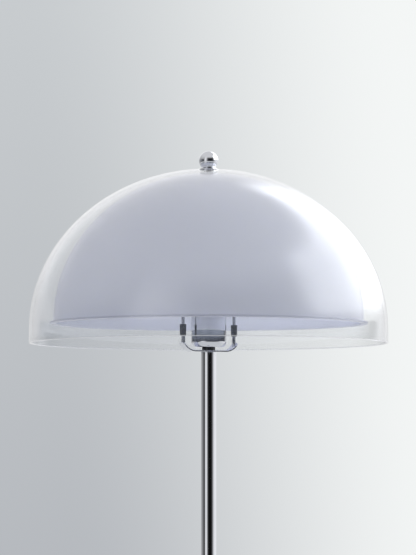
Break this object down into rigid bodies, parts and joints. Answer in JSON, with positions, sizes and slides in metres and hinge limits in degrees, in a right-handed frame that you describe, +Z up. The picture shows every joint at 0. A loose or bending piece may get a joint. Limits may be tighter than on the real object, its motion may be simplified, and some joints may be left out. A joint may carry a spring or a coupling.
{
  "type": "mushroom floor lamp",
  "caption": "Floor lamp with a clear dome over a white dome, a ball finial, a wire harp and saddle, a polished socket cup, a slim stem and a low round base.",
  "frame": {"origin": "centre of the base on the floor", "axes": "+Z up along the stem, +X along the harp's plane, +Y towards the cord inlet and the switch knob, at the back"},
  "size_m": [0.3699, 0.37, 1.4004],
  "materials": {
    "polished_chrome": "mirror polished plating",
    "nickel_wire": "drawn wire, nickel plated",
    "nickel_sleeve": "turned sleeve, nickel plated",
    "zinc_steel": "zinc plated",
    "black_collar": "gloss black",
    "clear_dome": "clear, polished, water white",
    "opal_white": "white opal, glossy, lets light through",
    "clear_washer": "clear soft washer",
    "black_phenolic": "moulded, satin",
    "black_knob": "moulded, fluted",
    "black_nylon": "moulded, satin",
    "nickel_shell": "rolled thread, bright",
    "brass": "plain brass",
    "solder": "dull solder",
    "frosted_glass": "frosted inside, off",
    "black_glass": "black glass",
    "felt": "pressed felt",
    "cast_iron": "as cast, painted black"
  },
  "bodies": {
    "stand": {"base_felt": "felt", "base_weight": "cast_iron", "base_cover": "polished_chrome", "cord_bushing": "black_nylon", "base_nipple": "zinc_steel", "base_washer": "zinc_steel", "base_locknut": "zinc_steel", "foot_collar": "polished_chrome", "stem_lower_tube": "polished_chrome", "stem_upper_tube": "polished_chrome", "foot_plug": "zinc_steel", "lower_joint_plug": "zinc_steel", "upper_joint_plug": "zinc_steel", "top_plug": "zinc_steel", "joint_nipple": "zinc_steel", "neck_nipple": "zinc_steel", "harp_saddle": "polished_chrome", "neck_collar": "black_collar", "socket_cup": "polished_chrome", "socket_locknut": "zinc_steel", "socket_body": "black_phenolic", "terminal_screws": "brass", "screw_shell": "nickel_shell", "centre_contact": "brass", "switch_bushing": "zinc_steel"},
    "switch": {"switch_shaft": "zinc_steel", "switch_knob": "black_knob"},
    "bulb": {"bulb_glass": "frosted_glass", "bulb_cap": "nickel_shell", "bulb_insulator": "black_glass", "bulb_contact": "solder"},
    "harp": {"harp_bow": "nickel_wire"},
    "ferrule_left": {"harp_ferrule_left": "nickel_sleeve"},
    "ferrule_right": {"harp_ferrule_right": "nickel_sleeve"},
    "swivel": {"swivel_stud": "zinc_steel", "swivel_rivet": "zinc_steel", "shade_rest": "polished_chrome"},
    "shades": {"rest_washer": "clear_washer", "inner_dome": "opal_white", "dome_spacer": "clear_washer", "outer_dome": "clear_dome", "finial_washer": "polished_chrome"},
    "finial": {"finial_ball": "polished_chrome"}
  },
  "joints": [
    {"name": "switch_turn", "type": "hinge", "parent": "stand", "child": "switch", "pos_m": [0, 0.03, 1.23826], "axis": [0, 1, 0], "continuous": true},
    {"name": "bulb_unscrew", "type": "slide", "parent": "stand", "child": "bulb", "axis": [0, 0, 1], "range_m": [0, 0.02]},
    {"name": "harp_lift", "type": "slide", "parent": "stand", "child": "harp", "axis": [0, 0, 1], "range_m": [0, 0.017]},
    {"name": "ferrule_left_slide", "type": "slide", "parent": "harp", "child": "ferrule_left", "axis": [0, 0, 1], "range_m": [0, 0.012]},
    {"name": "ferrule_right_slide", "type": "slide", "parent": "harp", "child": "ferrule_right", "axis": [0, 0, 1], "range_m": [0, 0.012]},
    {"name": "shade_swivel", "type": "hinge", "parent": "harp", "child": "swivel", "pos_m": [0, 0, 1.36845], "axis": [0, 0, 1], "continuous": true},
    {"name": "shade_lift", "type": "slide", "parent": "swivel", "child": "shades", "axis": [0, 0, 1], "range_m": [0, 0.018]},
    {"name": "finial_unscrew", "type": "slide", "parent": "shades", "child": "finial", "axis": [0, 0, 1], "range_m": [0, 0.0095]}
  ]
}
